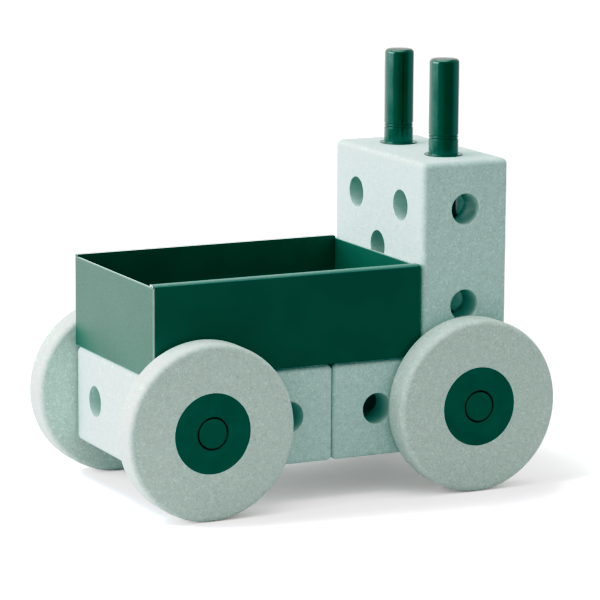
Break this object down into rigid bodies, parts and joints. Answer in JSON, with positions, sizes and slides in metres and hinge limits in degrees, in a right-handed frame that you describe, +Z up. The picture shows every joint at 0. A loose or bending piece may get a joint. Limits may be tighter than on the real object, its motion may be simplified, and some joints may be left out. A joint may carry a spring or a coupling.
{
  "type": "foam building-block toy vehicle with load box",
  "caption": "Toy vehicle built from perforated foam blocks and pegs, with foam wheels, a cab tower with peg stacks and an open lift-off load box.",
  "frame": {"origin": "on the floor, under the middle of the vehicle's overall box", "axes": "+X from the load-box end (the vehicle's front) to the tower end, +Y to the vehicle's right, +Z up"},
  "size_m": [0.48, 0.27, 0.4405],
  "materials": {
    "block_foam": "matt closed-cell foam, fine speckled skin",
    "wheel_foam": "matt closed-cell foam, fine speckled skin",
    "peg_plastic": "smooth semi-gloss moulded plastic",
    "hub_plastic": "satin moulded plastic",
    "box_board": "satin laminated board with pale core"
  },
  "bodies": {
    "chassis": {"base_block_front": "block_foam", "base_block_rear": "block_foam", "base_joining_peg_left": "peg_plastic", "base_joining_peg_right": "peg_plastic", "tower_joining_peg_left": "peg_plastic", "tower_joining_peg_right": "peg_plastic", "axle_peg_front_left": "peg_plastic", "axle_peg_front_right": "peg_plastic", "axle_peg_rear_left": "peg_plastic", "axle_peg_rear_right": "peg_plastic"},
    "box": {"box_bottom": "box_board", "box_end_front": "box_board", "box_end_rear": "box_board", "box_wall_left": "box_board", "box_wall_right": "box_board"},
    "tower": {"tower_block": "block_foam"},
    "stack_left": {"stack_peg_left": "peg_plastic"},
    "stack_right": {"stack_peg_right": "peg_plastic"},
    "wheel_front_left": {"wheel_foam_front_left": "wheel_foam", "wheel_hub_front_left": "hub_plastic", "hub_ring_front_left": "hub_plastic"},
    "wheel_front_right": {"wheel_foam_front_right": "wheel_foam", "wheel_hub_front_right": "hub_plastic", "hub_ring_front_right": "hub_plastic"},
    "wheel_rear_left": {"wheel_foam_rear_left": "wheel_foam", "wheel_hub_rear_left": "hub_plastic", "hub_ring_rear_left": "hub_plastic"},
    "wheel_rear_right": {"wheel_foam_rear_right": "wheel_foam", "wheel_hub_rear_right": "hub_plastic", "hub_ring_rear_right": "hub_plastic"}
  },
  "joints": [
    {"name": "box_lift", "type": "slide", "parent": "chassis", "child": "box", "axis": [0, 0, 1], "range_m": [0, 0.12]},
    {"name": "tower_lift", "type": "slide", "parent": "chassis", "child": "tower", "axis": [0, 0, 1], "range_m": [0, 0.04]},
    {"name": "stack_peg_left_pull", "type": "slide", "parent": "tower", "child": "stack_left", "axis": [0, 0, 1], "range_m": [0, 0.09]},
    {"name": "stack_peg_right_pull", "type": "slide", "parent": "tower", "child": "stack_right", "axis": [0, 0, 1], "range_m": [0, 0.09]},
    {"name": "wheel_front_left_spin", "type": "hinge", "parent": "chassis", "child": "wheel_front_left", "pos_m": [-0.15, -0.1188, 0.09], "axis": [0, 1, 0], "continuous": true},
    {"name": "wheel_front_right_spin", "type": "hinge", "parent": "chassis", "child": "wheel_front_right", "pos_m": [-0.15, 0.1188, 0.09], "axis": [0, 1, 0], "continuous": true},
    {"name": "wheel_rear_left_spin", "type": "hinge", "parent": "chassis", "child": "wheel_rear_left", "pos_m": [0.15, -0.1188, 0.09], "axis": [0, 1, 0], "continuous": true},
    {"name": "wheel_rear_right_spin", "type": "hinge", "parent": "chassis", "child": "wheel_rear_right", "pos_m": [0.15, 0.1188, 0.09], "axis": [0, 1, 0], "continuous": true}
  ]
}
